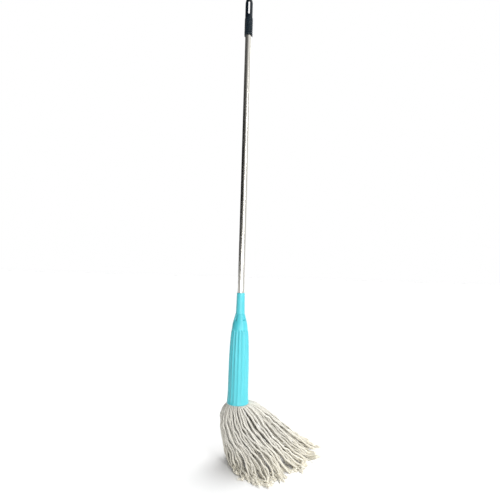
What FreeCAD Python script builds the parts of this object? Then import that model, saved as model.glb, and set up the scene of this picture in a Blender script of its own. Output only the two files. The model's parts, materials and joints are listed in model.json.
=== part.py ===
"""String mop with a sliding wringer sleeve, as a parametric FreeCAD document, in millimetres.

+Z runs up the pole's axis. The origin is the middle of the hanging slot in the end cap, whose
axis lies along Y. The yarn is swept towards +X and rests on the floor, far below the origin.
"""

import FreeCAD
import Part
import Sketcher
import math
import os

V = FreeCAD.Vector
UP = V(0, 0, 1)

DIMENSIONS = {
    # handle: end cap, grip and pole
    "cap_length": 68,
    "cap_dia": 23,
    "cap_tip_dia": 8,
    "cap_taper": 23,
    "slot_length": 50,
    "slot_width": 5.2,
    "slot_from_top": 33,
    "spigot_length": 30,
    "spigot_play": 0.05,
    "grip_length": 52,
    "grip_dia": 25,
    "rib_count": 7,
    "rib_pitch": 6.9,
    "rib_groove_depth": 1.1,
    "rib_groove_radius": 1.6,
    "pole_dia": 19,
    "pole_wall": 0.8,
    "pole_shown": 768,
    # wringer sleeve, measured down from its top edge
    "sleeve_length": 318,
    "neck_bore": 21.2,
    "neck_top_dia": 22.8,
    "neck_foot_dia": 26.2,
    "neck_length": 61,
    "collar_top_dia": 27,
    "collar_foot_dia": 37.4,
    "collar_foot": 80,
    "shoulder_foot": 107,
    "shoulder_dia": 46.8,
    "crest_step": 1,
    "crest_foot": 140,
    "crest_dia": 54.4,
    "barrel_foot": 200,
    "barrel_dia": 58.6,
    "bell_start": 285,
    "bell_dia": 60.4,
    "rim_dia": 64,
    "sleeve_wall": 2.4,
    "pocket_angle": 34,
    "pocket_count": 4,
    "flute_count": 18,
    "flute_tool_radius": 4,
    "flute_depth_top": 1.5,
    "flute_depth_foot": 0.7,
    # bush, its seat in the sleeve, and the rings
    "seat_top": 84,
    "seat_ceiling": 92,
    "seat_wall": 2.4,
    "seat_foot": 116,
    "bush_length": 28,
    "bush_dia": 29,
    "bush_play": 0.3,
    "running_play": 0.08,
    "clip_thickness": 1.2,
    "clip_bore": 26.6,
    "clip_depth": 0.9,
    "clip_gap": 7,
    "stop_ring_dia": 20.6,
    "stop_ring_bore": 18.4,
    "stop_ring_thickness": 1.2,
    "stop_ring_gap": 2,
    "friction_ring_section": 2.2,
    # hub, measured up from the floor
    "rim_height": 175,
    "sleeve_travel": 130,
    "hub_foot": 188,
    "hub_flange_dia": 34,
    "hub_flange_thickness": 5,
    "hub_waist_dia": 24,
    "hub_waist_top": 207,
    "hub_top_flange_dia": 40,
    "hub_top_flange_thickness": 4,
    "hub_socket_dia": 24,
    "pole_end": 203,
    "plug_length": 26,
    "plug_play": 0.05,
    "screw_dia": 4,
    "screw_hole_dia": 4.2,
    "screw_head_dia": 9,
    "screw_head_height": 2.6,
    "screw_length": 32,
    "washer_dia": 14,
    "washer_thickness": 1.2,
    "rivet_height": 240,
    "rivet_dia": 4,
    "rivet_hole_dia": 4.2,
    "rivet_head_dia": 7,
    "rivet_head_height": 1.2,
    # yarn: its tied root, its wire, and bundles whose ends lie spread on the floor
    "root_dia": 44,
    "wire_dia": 1.8,
    "wire_pitch": 6,
    "core_top": 180,
    "core_top_dia": 26,
    "core_foot_dia": 44,
    "core_lean": 42,
    "bundle_start_radius": 20.2,
    "bundle_clearance": 2,
    "bundle_top_width": 12,
    "bundle_top_thickness": 5.6,
    "bundle_width": 31,
    "bundle_thickness": 13,
    "bundle_swelling": 0.6,
}

# Heights of the main levels, which the sheet works out from the driving dimensions
# The bundles of yarn, by the direction in degrees from +X in which each leaves the rim: where its end lies
# on the floor (x, y), how far it arches outwards, and the share of its way along at which it meets the floor.
BUNDLES = (
    (18, 252, 118, 12, 0.92),
    (54, 178, 132, 20, 0.80),
    (90, 84, 118, 32, 0.60),
    (126, 0, 84, 38, 0.45),
    (162, -34, -8, 34, 0.25),
    (198, 8, -80, 27, 0.40),
    (234, 72, -114, 18, 0.60),
    (270, 134, -64, 12, 0.75),
    (306, 184, -4, 10, 0.86),
    (342, 226, 58, 10, 0.92),
)

LEVELS = {
    "cap_foot": "=slot_from_top - cap_length",
    "grip_foot": "=cap_foot - grip_length",
    "sleeve_top": "=grip_foot - pole_shown",
    "rim_level": "=sleeve_top - sleeve_length",
    "floor_level": "=rim_level - rim_height",
    "pole_foot": "=floor_level + pole_end",
    "bush_top": "=sleeve_top - seat_top - bush_play / 2",
    "bush_foot": "=bush_top - bush_length",
    "clip_top": "=bush_foot - bush_play / 2",
    "socket_top": "=bush_foot - sleeve_travel",
    "stop_ring_foot": "=bush_top + 0.1",
    "seat_bore": "=bush_dia + 2 * bush_play",
}

doc = FreeCAD.newDocument("string_mop")
sheet = doc.addObject("Spreadsheet::Sheet", "Sizes")
ALL_CELLS = {**DIMENSIONS, **LEVELS}
for row, (name, content) in enumerate(ALL_CELLS.items(), start=1):
    sheet.set(f"A{row}", name)
    sheet.set(f"B{row}", str(content))
    sheet.setAlias(f"B{row}", name)
SCRATCH_CELL = "D1"
doc.recompute()


def size(name):
    """The value of one named size."""
    return float(getattr(sheet, name))


def worked_out(formula):
    """The value of a formula in the sheet's names, which the sheet works out in a spare cell."""
    sheet.set(SCRATCH_CELL, "=" + formula)
    sheet.recompute()
    return float(sheet.get(SCRATCH_CELL))


def linked(formula):
    """A formula in the sheet's names as other objects write it, such as Sizes.cap_dia / 2."""
    words = formula.replace("(", "( ").replace(")", " )").split()
    return " ".join(f"<<Sizes>>.{w}" if w in ALL_CELLS else w for w in words)


def bind(thing, **formulas):
    """Binds an object's properties to formulas in the sheet's names."""
    for name, formula in formulas.items():
        thing.setExpression(name, linked(formula))
    return thing


def raised(thing, formula):
    """Binds the height of an object's placement."""
    thing.setExpression(".Placement.Base.z", linked(formula))
    return thing


# ---------------------------------------------------------------- sketches and turned bodies


def own_plane(body, role):
    """One of a body's own origin planes."""
    return next(f for f in body.Origin.OriginFeatures if f.Role == role)


def sketch_in(body, name, role="XZ_Plane"):
    """An empty sketch on one of a body's own planes."""
    sketch = body.newObject("Sketcher::SketchObject", name)
    sketch.AttachmentSupport = [(own_plane(body, role), "")]
    sketch.MapMode = "FlatFace"
    return sketch


def end_near(sketch, edge, point):
    """1 or 2: which end of a sketch's edge lies at a point."""
    geometry = sketch.Geometry[edge]
    starts_there = (geometry.StartPoint - point).Length < (geometry.EndPoint - point).Length
    return 1 if starts_there else 2


def pins(edge, end, across, up, place):
    """Constraints that hold one end of an edge, each with the formula that it is bound to."""
    return [
        (Sketcher.Constraint("DistanceX", -1, 1, edge, end, place.x), across),
        (Sketcher.Constraint("DistanceY", -1, 1, edge, end, place.y), up),
    ]


def constrain(sketch, held):
    """Adds constraints in one go, so that nothing moves before all of it is held, and binds them."""
    indices = sketch.addConstraint([constraint for constraint, _ in held])
    for index, (_, formula) in zip(indices, held):
        if formula:
            sketch.setExpression(f"Constraints[{index}]", linked(formula))


def closed_outline(sketch, corners, arcs=None):
    """Draws a closed outline through corners, each a (radius, height) pair of formulas.
    arcs names the corners after which the outline runs in an arc: its radius, and 1 or -1 for its side."""
    arcs = arcs or {}
    places = [V(worked_out(across), worked_out(up), 0) for across, up in corners]
    count = len(places)
    for i, start in enumerate(places):
        end = places[(i + 1) % count]
        if i in arcs:
            radius, side = arcs[i]
            chord = end - start
            rise = radius - math.sqrt(radius**2 - (chord.Length / 2) ** 2)
            middle = (start + end) * 0.5 + V(-chord.y, chord.x, 0).normalize() * rise * side
            # a sketch wants its arcs counter-clockwise
            first, last = (end, start) if side > 0 else (start, end)
            sketch.addGeometry(Part.Arc(first, middle, last))
        else:
            sketch.addGeometry(Part.LineSegment(start, end))
    starts = [end_near(sketch, i, places[i]) for i in range(count)]
    held = []
    for i, (across, up) in enumerate(corners):
        before = (i - 1) % count
        held.append((Sketcher.Constraint("Coincident", before, 3 - starts[before], i, starts[i]), None))
        held += pins(i, starts[i], across, up, places[i])
    held += [(Sketcher.Constraint("Radius", i, radius), None) for i, (radius, _) in arcs.items()]
    constrain(sketch, held)


def turned(name, corners, arcs=None):
    """A body turned about the pole's axis from a half section."""
    body = doc.addObject("PartDesign::Body", name)
    sketch = sketch_in(body, name + "_section")
    closed_outline(sketch, corners, arcs)
    turn = body.newObject("PartDesign::Revolution", name + "_turn")
    turn.Profile = sketch
    turn.ReferenceAxis = (sketch, ["V_Axis"])
    turn.Angle = 360
    return body


def ring(name, bore, outside, foot, top):
    """A turned ring of rectangular section."""
    return turned(name, [(bore, foot), (outside, foot), (outside, top), (bore, top)])


def cut(name, base, tool):
    """base with tool taken away."""
    result = doc.addObject("Part::Cut", name)
    result.Base = base
    result.Tool = tool
    return result


def together(kind, name, shapes):
    """A Part::MultiFuse or Part::Compound of several objects."""
    result = doc.addObject(kind, name)
    if kind == "Part::Compound":
        result.Links = shapes
    else:
        result.Shapes = shapes
    return result


def cross_bar(name, diameter, half_length, height):
    """A bar along X through the pole's axis."""
    bar = doc.addObject("Part::Cylinder", name)
    bar.Placement = FreeCAD.Placement(V(0, 0, 0), FreeCAD.Rotation(V(0, 1, 0), 90))
    bind(bar, Radius=f"{diameter} / 2", Height=f"2 * ( {half_length} )")
    bar.setExpression(".Placement.Base.x", linked(f"0 - ( {half_length} )"))
    return raised(bar, height)


# ---------------------------------------------------------------- handle


def make_hang_cap():
    """End cap: a round bar that narrows to its tip, a spigot for the pole, and the hanging slot."""
    spigot = "pole_dia / 2 - pole_wall - spigot_play"
    corners = [
        ("0", "cap_foot - spigot_length"),
        (spigot, "cap_foot - spigot_length"),
        (spigot, "cap_foot"),
        ("cap_dia / 2", "cap_foot"),
        ("cap_dia / 2", "slot_from_top - cap_taper"),
        ("cap_tip_dia / 2", "slot_from_top"),
        ("0", "slot_from_top"),
    ]
    body = turned("hang_cap", corners, {4: (40, -1)})
    slot = sketch_in(body, "hang_cap_slot")
    straight = (size("slot_length") - size("slot_width")) / 2
    radius = size("slot_width") / 2
    right_foot, right_top = V(radius, -straight, 0), V(radius, straight, 0)
    left_foot, left_top = V(-radius, -straight, 0), V(-radius, straight, 0)
    slot.addGeometry(Part.LineSegment(right_foot, right_top))
    slot.addGeometry(Part.Arc(right_top, V(0, straight + radius, 0), left_top))
    slot.addGeometry(Part.LineSegment(left_top, left_foot))
    slot.addGeometry(Part.Arc(left_foot, V(0, -straight - radius, 0), right_foot))
    half_width = "slot_width / 2"
    half_straight = "( slot_length - slot_width ) / 2"
    held = []
    for edge, place, across, up in (
        (0, right_foot, half_width, f"0 - {half_straight}"),
        (0, right_top, half_width, half_straight),
        (2, left_top, f"0 - {half_width}", half_straight),
        (2, left_foot, f"0 - {half_width}", f"0 - {half_straight}"),
    ):
        held += pins(edge, end_near(slot, edge, place), across, up, place)
    for arc, line, place in ((1, 0, right_top), (1, 2, left_top), (3, 2, left_foot), (3, 0, right_foot)):
        here, there = end_near(slot, arc, place), end_near(slot, line, place)
        held.append((Sketcher.Constraint("Coincident", arc, here, line, there), None))
    for arc, up, height in ((1, half_straight, straight), (3, f"0 - {half_straight}", -straight)):
        held.append((Sketcher.Constraint("DistanceY", -1, 1, arc, 3, height), up))
    constrain(slot, held)
    pocket = body.newObject("PartDesign::Pocket", "hang_cap_slot_cut")
    pocket.Profile = slot
    pocket.Type = "ThroughAll"
    pocket.Midplane = True
    return body


def make_grip_sleeve():
    """Ribbed grip pushed over the pole: a tube with round grooves between its ribs."""
    body = ring("grip_sleeve", "pole_dia / 2", "grip_dia / 2", "grip_foot", "cap_foot")
    groove_sketch = sketch_in(body, "grip_groove_section")
    across = "grip_dia / 2 + rib_groove_radius - rib_groove_depth"
    first = "( cap_foot + grip_foot ) / 2 - rib_pitch * rib_count / 2"
    place = V(worked_out(across), worked_out(first), 0)
    groove_sketch.addGeometry(Part.Circle(place, UP, size("rib_groove_radius")))
    width = Sketcher.Constraint("Radius", 0, size("rib_groove_radius"))
    constrain(groove_sketch, pins(0, 3, across, first, place) + [(width, "rib_groove_radius")])
    groove = body.newObject("PartDesign::Groove", "grip_groove")
    groove.Profile = groove_sketch
    groove.ReferenceAxis = (groove_sketch, ["V_Axis"])
    groove.Angle = 360
    ribs = body.newObject("PartDesign::LinearPattern", "grip_grooves")
    ribs.Originals = [groove]
    ribs.Direction = (groove_sketch, ["V_Axis"])
    bind(ribs, Length="rib_pitch * rib_count", Occurrences="rib_count + 1")
    body.Tip = ribs
    return body


def make_pole_tube(rivet_hole):
    """Steel tube with the shallow groove that the stop ring snaps into, and the rivet's cross hole."""
    outside = "pole_dia / 2"
    ring_top = "stop_ring_foot + stop_ring_thickness"
    corners = [
        ("pole_dia / 2 - pole_wall", "pole_foot"),
        (outside, "pole_foot"),
        (outside, "stop_ring_foot"),
        ("stop_ring_bore / 2", "stop_ring_foot"),
        ("stop_ring_bore / 2", ring_top),
        (outside, ring_top),
        (outside, "cap_foot"),
        ("pole_dia / 2 - pole_wall", "cap_foot"),
    ]
    return cut("pole_tube", turned("pole_tube_blank", corners), rivet_hole)


def make_stop_ring():
    """Split snap ring on the pole. The bush comes up against it when the sleeve is parked."""
    blank = ring(
        "stop_ring_blank",
        "stop_ring_bore / 2",
        "stop_ring_dia / 2",
        "stop_ring_foot",
        "stop_ring_foot + stop_ring_thickness",
    )
    return cut("stop_ring", blank, gap_box("stop_ring_split", "stop_ring_gap", "stop_ring_foot - 1"))


def gap_box(name, width, foot):
    """A box that opens a ring on its +Y side."""
    box = doc.addObject("Part::Box", name)
    bind(box, Length=width, Width="pole_dia", Height="4")
    box.setExpression(".Placement.Base.x", linked(f"0 - {width} / 2"))
    return raised(box, foot)


# ---------------------------------------------------------------- sliding bush


def make_guide_bush():
    """Flangeless bush that slides on the pole, with a groove in its bore for the friction ring."""
    bore = "pole_dia / 2 + running_play"
    groove = "pole_dia / 2 + running_play + friction_ring_section + 0.1"
    middle = "( bush_top + bush_foot ) / 2"
    groove_foot = f"{middle} - friction_ring_section / 2 - 0.1"
    groove_top = f"{middle} + friction_ring_section / 2 + 0.1"
    corners = [
        (bore, "bush_foot"),
        ("bush_dia / 2", "bush_foot"),
        ("bush_dia / 2", "bush_top"),
        (bore, "bush_top"),
        (bore, groove_top),
        (groove, groove_top),
        (groove, groove_foot),
        (bore, groove_foot),
    ]
    return turned("guide_bush", corners)


def make_friction_ring():
    """Rubber ring that grips the pole, so that the sleeve stays where it is put."""
    torus = doc.addObject("Part::Torus", "friction_ring")
    bind(
        torus,
        Radius1="pole_dia / 2 + running_play + friction_ring_section / 2",
        Radius2="friction_ring_section / 2",
    )
    return raised(torus, "( bush_top + bush_foot ) / 2")


# ---------------------------------------------------------------- wringer sleeve


def below_top(name):
    """The height of a level that is measured down from the sleeve's top edge."""
    return f"sleeve_top - {name}"


def make_sleeve_shell():
    """Half section of the sleeve: neck, collar, shoulder, barrel and bell, and the bush's seat inside."""
    seat = "seat_bore / 2"
    seat_outside = "seat_bore / 2 + seat_wall"
    clip_groove = "seat_bore / 2 + clip_depth"
    clip_foot = "clip_top - clip_thickness - 0.1"
    clip_groove_top = "clip_top + 0.1"
    corners = [
        ("neck_top_dia / 2", "sleeve_top"),
        ("neck_foot_dia / 2", below_top("neck_length")),
        ("collar_top_dia / 2", below_top("neck_length")),
        ("collar_foot_dia / 2", below_top("collar_foot")),
        ("shoulder_dia / 2", below_top("shoulder_foot")),
        ("shoulder_dia / 2 + crest_step", below_top("shoulder_foot")),
        ("crest_dia / 2", below_top("crest_foot")),
        ("barrel_dia / 2", below_top("barrel_foot")),
        ("bell_dia / 2", below_top("bell_start")),
        ("rim_dia / 2", "rim_level"),
        ("rim_dia / 2 - sleeve_wall", "rim_level"),
        ("bell_dia / 2 - sleeve_wall", below_top("bell_start")),
        ("barrel_dia / 2 - sleeve_wall", below_top("barrel_foot")),
        ("crest_dia / 2 - sleeve_wall", below_top("crest_foot")),
        ("shoulder_dia / 2 - sleeve_wall", below_top("shoulder_foot")),
        (f"{seat_outside} + 2", below_top("seat_ceiling")),
        (seat_outside, below_top("seat_ceiling")),
        (seat_outside, below_top("seat_foot")),
        (seat, below_top("seat_foot")),
        (seat, clip_foot),
        (clip_groove, clip_foot),
        (clip_groove, clip_groove_top),
        (seat, clip_groove_top),
        (seat, below_top("seat_top")),
        ("neck_bore / 2", below_top("seat_top")),
        ("neck_bore / 2", "sleeve_top"),
    ]
    arcs = {3: (48, 1), 5: (70, 1), 6: (420, 1), 8: (190, -1)}
    return turned("sleeve_shell", corners, arcs)


def add_flutes(body):
    """Round grooves down the barrel, which fade out towards the rim."""
    tool = size("flute_tool_radius")
    deep, shallow = size("flute_depth_top"), size("flute_depth_foot")
    top, foot = size("sleeve_top"), size("rim_level")
    run_out = 4
    floor_line = [
        V(size("shoulder_dia") / 2, top - size("shoulder_foot") + run_out, 0),
        V(size("crest_dia") / 2 - deep, top - size("crest_foot"), 0),
        V(size("barrel_dia") / 2 - (deep + shallow) / 2, top - size("barrel_foot"), 0),
        V(size("bell_dia") / 2 - shallow, top - size("bell_start"), 0),
        V(size("rim_dia") / 2 - shallow, foot - run_out, 0),
    ]
    spine = sketch_in(body, "flute_line")
    curve = Part.BSplineCurve()
    curve.interpolate([p + V(tool, 0, 0) for p in floor_line])
    spine.addGeometry(curve)
    section = sketch_in(body, "flute_section", "XY_Plane")
    section.AttachmentOffset = FreeCAD.Placement(V(0, 0, floor_line[0].y), FreeCAD.Rotation())
    section.addGeometry(Part.Circle(V(floor_line[0].x + tool, 0, 0), UP, tool))
    constrain(section, [(Sketcher.Constraint("Radius", 0, tool), "flute_tool_radius")])
    flute = body.newObject("PartDesign::SubtractivePipe", "flute")
    flute.Profile = section
    flute.Spine = (spine, ["Edge1"])
    doc.recompute()
    flutes = body.newObject("PartDesign::PolarPattern", "flutes")
    flutes.Originals = [flute]
    flutes.Axis = (section, ["N_Axis"])
    flutes.Angle = 360
    bind(flutes, Occurrences="flute_count")
    body.Tip = flutes
    return body


def make_wringer_sleeve():
    """One moulded piece. Four pockets between its neck and its collar leave four broad webs."""
    shell = add_flutes(make_sleeve_shell())
    sectors = []
    for i in range(int(size("pocket_count"))):
        sector = doc.addObject("Part::Cylinder", f"pocket_sector_{i}")
        bind(sector, Radius="shoulder_dia", Angle="pocket_angle", Height="collar_foot - neck_length")
        turn = (i + 0.5) * 360 / size("pocket_count") - size("pocket_angle") / 2
        sector.Placement = FreeCAD.Placement(V(0, 0, 0), FreeCAD.Rotation(UP, turn))
        sectors.append(raised(sector, below_top("collar_foot")))
    neck_core = doc.addObject("Part::Cylinder", "pocket_core")
    bind(neck_core, Radius="neck_foot_dia / 2", Height="collar_foot")
    raised(neck_core, below_top("collar_foot"))
    pockets = cut("pockets", together("Part::MultiFuse", "pocket_sectors", sectors), neck_core)
    return cut("wringer_sleeve", shell, pockets)


def make_bush_clip():
    """Split retaining ring in the seat's groove, under the bush."""
    blank = ring(
        "bush_clip_blank",
        "clip_bore / 2",
        "seat_bore / 2 + clip_depth - 0.1",
        "clip_top - clip_thickness",
        "clip_top",
    )
    return cut("bush_clip", blank, gap_box("bush_clip_split", "clip_gap", "clip_top - 3"))


# ---------------------------------------------------------------- hub on the pole's lower end


def above_floor(name):
    """The height of a level that is measured up from the floor."""
    return f"floor_level + {name}"


def make_yarn_hub(rivet_hole):
    """Socket over the pole's end, a waist for the yarn, and a flange above and below the waist."""
    flange_top = above_floor("hub_foot + hub_flange_thickness")
    top_flange_top = above_floor("hub_waist_top + hub_top_flange_thickness")
    corners = [
        ("screw_hole_dia / 2", above_floor("hub_foot")),
        ("hub_flange_dia / 2", above_floor("hub_foot")),
        ("hub_flange_dia / 2", flange_top),
        ("hub_waist_dia / 2", flange_top),
        ("hub_waist_dia / 2", above_floor("hub_waist_top")),
        ("hub_top_flange_dia / 2", above_floor("hub_waist_top")),
        ("hub_top_flange_dia / 2", top_flange_top),
        ("hub_socket_dia / 2", top_flange_top),
        ("hub_socket_dia / 2", "socket_top"),
        ("pole_dia / 2", "socket_top"),
        ("pole_dia / 2", "pole_foot"),
        ("screw_hole_dia / 2", "pole_foot"),
    ]
    return cut("yarn_hub", turned("yarn_hub_blank", corners), rivet_hole)


def make_hub_rivet():
    """Rivet across the socket and the pole, with a flat head at each end."""
    shank = cross_bar("rivet_shank", "rivet_dia", "hub_socket_dia / 2", above_floor("rivet_height"))
    heads = []
    for side, place in (("left", "0 - hub_socket_dia / 2 - rivet_head_height"), ("right", "hub_socket_dia / 2")):
        head = doc.addObject("Part::Cylinder", f"rivet_head_{side}")
        head.Placement = FreeCAD.Placement(V(0, 0, 0), FreeCAD.Rotation(V(0, 1, 0), 90))
        bind(head, Radius="rivet_head_dia / 2", Height="rivet_head_height")
        head.setExpression(".Placement.Base.x", linked(place))
        heads.append(raised(head, above_floor("rivet_height")))
    return together("Part::MultiFuse", "hub_rivet", [shank] + heads)


def make_pole_end_plug():
    """Plug in the pole's lower end, bored for the hub screw."""
    outside = "pole_dia / 2 - pole_wall - plug_play"
    hole_top = above_floor("hub_foot + screw_length")
    corners = [
        ("screw_dia / 2", "pole_foot"),
        (outside, "pole_foot"),
        (outside, "pole_foot + plug_length"),
        ("0", "pole_foot + plug_length"),
        ("0", hole_top),
        ("screw_dia / 2", hole_top),
    ]
    return turned("pole_end_plug", corners)


def make_hub_screw():
    """Pan-head screw up through the washer and the hub into the plug, with a cross recess."""
    head_foot = above_floor("hub_foot - washer_thickness - screw_head_height")
    head_top = above_floor("hub_foot - washer_thickness")
    tip = above_floor("hub_foot + screw_length")
    corners = [
        ("0", head_foot),
        ("screw_head_dia / 2 - 1", head_foot),
        ("screw_head_dia / 2", f"{head_foot} + 1"),
        ("screw_head_dia / 2", head_top),
        ("screw_dia / 2", head_top),
        ("screw_dia / 2", tip),
        ("0", tip),
    ]
    blades = []
    for name, length, width in (("recess_x", "5", "1"), ("recess_y", "1", "5")):
        blade = doc.addObject("Part::Box", name)
        bind(blade, Length=length, Width=width, Height="screw_head_height / 2 + 1")
        blade.setExpression(".Placement.Base.x", f"-{length} / 2")
        blade.setExpression(".Placement.Base.y", f"-{width} / 2")
        blades.append(raised(blade, f"{head_foot} - 1"))
    recess = together("Part::MultiFuse", "screw_recess", blades)
    return cut("hub_screw", turned("hub_screw_blank", corners), recess)


def make_hub_washer():
    """Flat washer between the screw's head and the hub."""
    return ring(
        "hub_washer",
        "screw_hole_dia / 2",
        "washer_dia / 2",
        above_floor("hub_foot - washer_thickness"),
        above_floor("hub_foot"),
    )


# ---------------------------------------------------------------- yarn, as plain closed solids


def wire_turns(name):
    """Two turns of binding wire, as two rings half sunk in the tied yarn."""
    turns = []
    for i, side in enumerate(("-", "+")):
        torus = doc.addObject("Part::Torus", f"{name}_turn_{i}")
        bind(torus, Radius1="root_dia / 2", Radius2="wire_dia / 2")
        middle = above_floor("( hub_foot + hub_flange_thickness + hub_waist_top ) / 2")
        turns.append(raised(torus, f"{middle} {side} wire_pitch / 2"))
    return together("Part::Compound", name, turns)


def make_yarn_root(wire):
    """The yarn where it is tied round the hub's waist, with the wire's two grooves."""
    blank = ring(
        "yarn_root_blank",
        "hub_waist_dia / 2",
        "root_dia / 2",
        above_floor("hub_foot + hub_flange_thickness"),
        above_floor("hub_waist_top"),
    )
    return cut("yarn_root", blank, wire)


def make_yarn_core():
    """The strands inside the others, which lean the way the yarn is swept."""
    rings = []
    for name, radius, across, height in (
        ("core_top_ring", "core_top_dia / 2", "0", "core_top"),
        ("core_foot_ring", "core_foot_dia / 2", "core_lean", "0"),
    ):
        circle = doc.addObject("Part::Circle", name)
        bind(circle, Radius=radius)
        circle.setExpression(".Placement.Base.x", linked(across))
        rings.append(raised(circle, above_floor(height)))
    loft = doc.addObject("Part::Loft", "yarn_core")
    loft.Sections = rings
    loft.Solid = True
    return loft


def outward(angle):
    """The unit vector away from the pole at an angle in degrees, counted from +X."""
    return V(math.cos(math.radians(angle)), math.sin(math.radians(angle)), 0)


def bundle_line(angle, tip_x, tip_y, arch, landing):
    """The centre line of a bundle: down through the rim, out in an arch, and along the floor to its tip."""
    floor = size("floor_level")
    rim = size("rim_level")
    drop = size("rim_height")
    lying = floor + size("bundle_thickness") / 2 + size("bundle_clearance")
    away = outward(angle)
    start = away * size("bundle_start_radius")
    way = V(tip_x, tip_y, 0) - start
    poles = [
        start + UP * (floor + size("hub_foot") + size("hub_flange_thickness")),
        start + UP * (rim - 0.03 * drop),
        start + away * arch * 0.6 + way * 0.05 + UP * (rim - 0.14 * drop),
        start + away * arch + way * landing * 0.35 + UP * (floor + 0.60 * drop),
        start + away * arch * 0.6 + way * landing * 0.72 + UP * (floor + 0.25 * drop),
        start + away * arch * 0.3 + way * landing + UP * lying,
        V(tip_x, tip_y, 0) + UP * lying,
    ]
    line = Part.BSplineCurve()
    line.buildFromPoles(poles)
    return line


def rows_of_poles(line, breadth):
    """Rings of poles along a bundle: slim in the rim and broad on the floor, where they turn until they lie flat."""
    steps = 12
    around = 8
    outside = 3 / (2 + math.cos(2 * math.pi / around))
    first, last = line.FirstParameter, line.LastParameter
    rows = []
    for i in range(steps + 1):
        share = i / steps
        at = first + (last - first) * share
        along = line.tangent(at)[0]
        breadth = breadth * (1 - share) + UP.cross(along) * share
        breadth = (breadth - along * breadth.dot(along)).normalize()
        growth = min(1.0, share / size("bundle_swelling")) ** 1.6
        width = size("bundle_top_width") * (1 - growth) + size("bundle_width") * growth
        thickness = size("bundle_top_thickness") * (1 - growth) + size("bundle_thickness") * growth
        half_width = breadth * (width / 2 * outside)
        half_thickness = along.cross(breadth) * (thickness / 2 * outside)
        row = []
        for j in range(around):
            turn = 2 * math.pi * j / around
            row.append(line.value(at) + half_width * math.cos(turn) + half_thickness * math.sin(turn))
        rows.append(row)
    return rows


def bundle(angle, *lie):
    """One bundle of yarn: a smooth closed skin over rings of poles, with a flat face at either end."""
    rows = rows_of_poles(bundle_line(angle, *lie), UP.cross(outward(angle)))
    spans = len(rows) - 3
    around = len(rows[0])
    skin = Part.BSplineSurface()
    skin.buildFromPolesMultsKnots(
        rows,
        [4] + [1] * (spans - 1) + [4],
        [1] * (around + 1),
        list(range(spans + 1)),
        list(range(around + 1)),
        False,
        True,
        3,
        3,
    )
    faces = [skin.toShape()]
    for end in (0, spans):
        faces.append(Part.Face(Part.Wire(skin.uIso(end).toShape())))
    sewn = Part.makeCompound(faces)
    sewn.sewShape()
    solid = Part.Solid(Part.Shell(sewn.Faces))
    if solid.Volume < 0:
        solid.reverse()
    return solid


def make_bundles():
    """The four groups of bundles round the core, each group a compound of separate closed solids."""
    groups = {"yarn_right": [], "yarn_back": [], "yarn_left": [], "yarn_front": []}
    names = list(groups)
    for angle, *lie in BUNDLES:
        quarter = int((angle + 45) // 90) % 4
        groups[names[quarter]].append(bundle(angle, *lie))
    made = []
    for name, solids in groups.items():
        feature = doc.addObject("Part::Feature", name)
        feature.Shape = Part.makeCompound(solids)
        made.append(feature)
    return made


# ---------------------------------------------------------------- assembly and export


def make_all():
    """Every sub-part of the mop."""
    half_length = "hub_socket_dia / 2 + 1"
    rivet_hole = cross_bar("rivet_hole", "rivet_hole_dia", half_length, above_floor("rivet_height"))
    wire = wire_turns("binding_wire")
    return [
        make_hang_cap(),
        make_grip_sleeve(),
        make_pole_tube(rivet_hole),
        make_stop_ring(),
        make_guide_bush(),
        make_friction_ring(),
        make_wringer_sleeve(),
        make_bush_clip(),
        make_yarn_hub(rivet_hole),
        make_hub_rivet(),
        make_pole_end_plug(),
        make_hub_screw(),
        make_hub_washer(),
        wire,
        make_yarn_root(wire),
        make_yarn_core(),
        *make_bundles(),
    ]


parts = make_all()
for part in parts:
    part.Label = part.Name
doc.recompute()
for thing in doc.Objects:
    if "Invalid" in thing.State or "Error" in thing.State:
        raise RuntimeError(f"{thing.Name} could not be worked out: {thing.State}")
for part in parts:
    if part.Shape.isNull() or not part.Shape.isValid():
        raise RuntimeError(f"{part.Label} has no valid shape")
os.makedirs("parts", exist_ok=True)
for part in parts:
    part.Shape.exportStep(f"parts/{part.Label}.step")
    box = part.Shape.BoundBox
    print(
        f"{part.Label}: {len(part.Shape.Solids)} solid(s), {part.Shape.Volume:.0f} mm3, "
        f"X {box.XMin:.1f}..{box.XMax:.1f}, Y {box.YMin:.1f}..{box.YMax:.1f}, Z {box.ZMin:.1f}..{box.ZMax:.1f}"
    )
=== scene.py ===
"""A string mop: a steel pole with a ribbed grip, a fluted sleeve that wrings it, and a head of cotton yarn.

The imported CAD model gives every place. Lengths are in metres. +Z runs up the pole, and -Y faces the camera.
"""

import json
import math

import bmesh
import bpy
import numpy as np
from mathutils import Matrix, Vector, kdtree


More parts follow.
